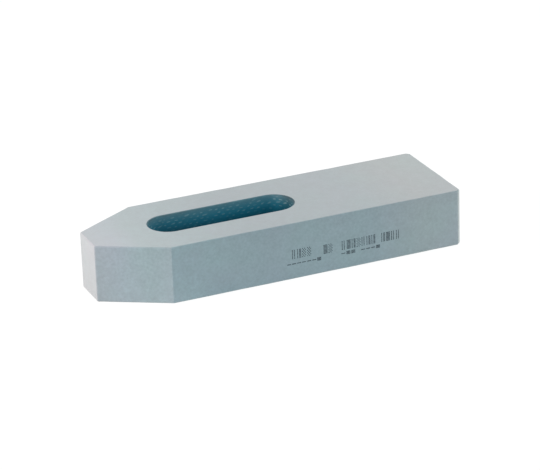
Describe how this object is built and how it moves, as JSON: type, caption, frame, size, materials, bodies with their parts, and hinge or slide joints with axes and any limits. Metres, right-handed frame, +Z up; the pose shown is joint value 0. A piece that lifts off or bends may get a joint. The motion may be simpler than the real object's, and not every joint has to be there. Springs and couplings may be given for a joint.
{
  "type": "strap clamp",
  "caption": "Flat steel strap clamp bar with a tapered nose, a square heel and a long through slot with half-round ends for a clamping stud.",
  "frame": {"origin": "middle of the underside, halfway along the bar", "axes": "+X along the bar from the nose to the heel, +Z up through its thickness, +Y across it"},
  "size_m": [0.16, 0.05, 0.025],
  "materials": {
    "bar_steel": "satin blue-grey blasted and lacquered steel, with dark petrol-blue slot walls"
  },
  "bodies": {
    "root": {"strap_clamp": "bar_steel"}
  },
  "joints": []
}
